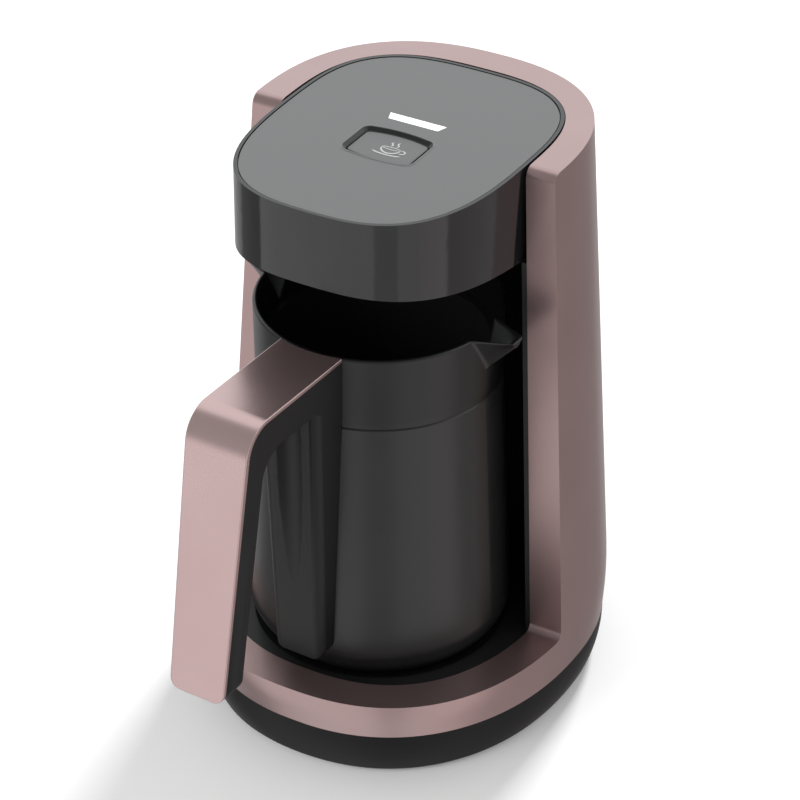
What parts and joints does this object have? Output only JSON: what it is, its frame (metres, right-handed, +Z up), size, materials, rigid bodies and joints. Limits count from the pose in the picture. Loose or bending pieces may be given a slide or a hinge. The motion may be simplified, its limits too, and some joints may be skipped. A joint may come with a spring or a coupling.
{
  "type": "electric coffee maker",
  "caption": "Upright coffee maker: a horseshoe shell holds a flat control head over an open bay, and a lift-off pot with two spouts and a long handle stands on a round connector.",
  "frame": {"origin": "on the table, under the middle of the whole machine with its pot", "axes": "+Z up, +X to the right and -Y towards the user, where the pot handle points"},
  "size_m": [0.1523, 0.225, 0.2355],
  "materials": {
    "shell_copper": "satin rose-gold metallic lacquer over moulded plastic",
    "strip_copper": "satin rose-gold lacquer over thin sheet",
    "base_black": "satin black moulding",
    "bay_black": "satin black moulding",
    "band_gloss": "polished black moulding",
    "lid_grey": "fine satin grey moulding",
    "button_dark": "satin dark grey moulding",
    "light_white": "frosted white moulding",
    "pot_grey": "satin dark grey moulding",
    "cup_steel": "black non-stick coat over steel",
    "seal_rubber": "black silicone rubber",
    "foot_rubber": "matt black rubber",
    "screw_steel": "zinc-plated steel",
    "heater_aluminium": "cast aluminium",
    "tube_steel": "heat-tinted steel tube",
    "contact_brass": "bare brass",
    "board_green": "green lacquered board",
    "component_black": "moulded component case",
    "component_blue": "blue component case",
    "sensor_glass": "dark red clear lens"
  },
  "bodies": {
    "machine": {"outer_shell": "shell_copper", "base_pan": "base_black", "rubber_feet": "foot_rubber", "base_screws": "screw_steel", "cord_gland": "seal_rubber", "seat_deck": "bay_black", "base_connector": "bay_black", "contact_rings": "contact_brass", "connector_screws": "screw_steel", "bay_liner": "bay_black", "power_board": "board_green", "power_board_screws": "screw_steel", "power_relay": "component_blue", "relay_capacitor": "component_black", "terminal_block": "component_black", "head_housing": "band_gloss", "head_underside_cover": "bay_black", "head_screws": "screw_steel", "lid_panel": "lid_grey", "switch_body": "component_black", "light_guide": "light_white", "indicator_lamp": "light_white", "control_board": "board_green", "board_screws": "screw_steel", "buzzer": "component_black", "sensor_window": "sensor_glass", "boil_sensor": "component_black"},
    "pot": {"pot_cup": "cup_steel", "pot_jacket": "pot_grey", "pot_collar": "pot_grey", "cup_seal": "seal_rubber", "heater_plate": "heater_aluminium", "heating_element": "tube_steel", "pot_thermostat": "component_black", "pot_base_cover": "base_black", "pot_base_screws": "screw_steel", "pot_socket": "base_black", "socket_pin": "contact_brass", "socket_blades": "contact_brass", "handle_body": "pot_grey", "handle_strip": "strip_copper", "handle_screws": "screw_steel"},
    "button": {"brew_button": "button_dark"},
    "plunger": {"switch_plunger": "light_white"}
  },
  "joints": [
    {"name": "pot_lift", "type": "slide", "parent": "machine", "child": "pot", "axis": [0, 0, 1], "range_m": [0, 0.015]},
    {"name": "button_press", "type": "slide", "parent": "machine", "child": "button", "axis": [0, 0, -1], "range_m": [0, 0.001], "stiffness_N_per_m": 900, "springref_m": -0.002},
    {"name": "switch_travel", "type": "slide", "parent": "machine", "child": "plunger", "axis": [0, 0, -1], "range_m": [0, 0.001]}
  ],
  "couplings": [
    {"joint": "switch_travel", "follows": "button_press", "ratio": 1}
  ]
}
